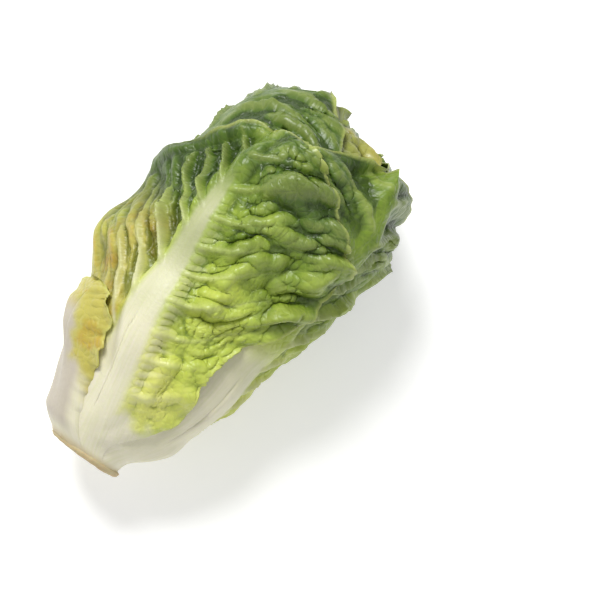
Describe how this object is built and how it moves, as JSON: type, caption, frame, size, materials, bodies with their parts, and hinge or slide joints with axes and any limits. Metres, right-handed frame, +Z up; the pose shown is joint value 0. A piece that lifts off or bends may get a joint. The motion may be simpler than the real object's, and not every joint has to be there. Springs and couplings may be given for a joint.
{
  "type": "romaine lettuce head",
  "caption": "Small romaine lettuce head lying on its side: overlapping waved leaves with broad pale ribs wrap a tight heart and end at a flat cut stem.",
  "frame": {"origin": "the middle of the underside of the object's box, on the surface that the head lies on", "axes": "+X runs along the head from the cut stem to the leaf tips, +Z is up, and -Y is the head's right side seen from above with the tips away"},
  "size_m": [0.151, 0.096, 0.0915],
  "materials": {
    "outer_leaf": "waxy crinkled leaf, ivory rib, yellow-green blade, dark green tip",
    "inner_leaf": "waxy crinkled pale green leaf with an ivory rib",
    "heart": "tightly wrapped pale yellow young leaves",
    "stem": "cream cut face with a tan dried rim"
  },
  "bodies": {
    "root": {"cut_stem": "stem", "heart": "heart", "inner_leaf_1": "inner_leaf", "inner_leaf_2": "inner_leaf", "inner_leaf_3": "inner_leaf", "inner_leaf_4": "inner_leaf", "inner_leaf_5": "inner_leaf", "middle_leaf_1": "outer_leaf", "middle_leaf_2": "outer_leaf", "middle_leaf_3": "outer_leaf", "outer_leaf_side_right": "outer_leaf", "outer_leaf_side_left": "outer_leaf", "outer_leaf_right": "outer_leaf", "outer_leaf_under": "outer_leaf", "outer_leaf_front": "outer_leaf", "outer_leaf_short": "outer_leaf"}
  },
  "joints": []
}
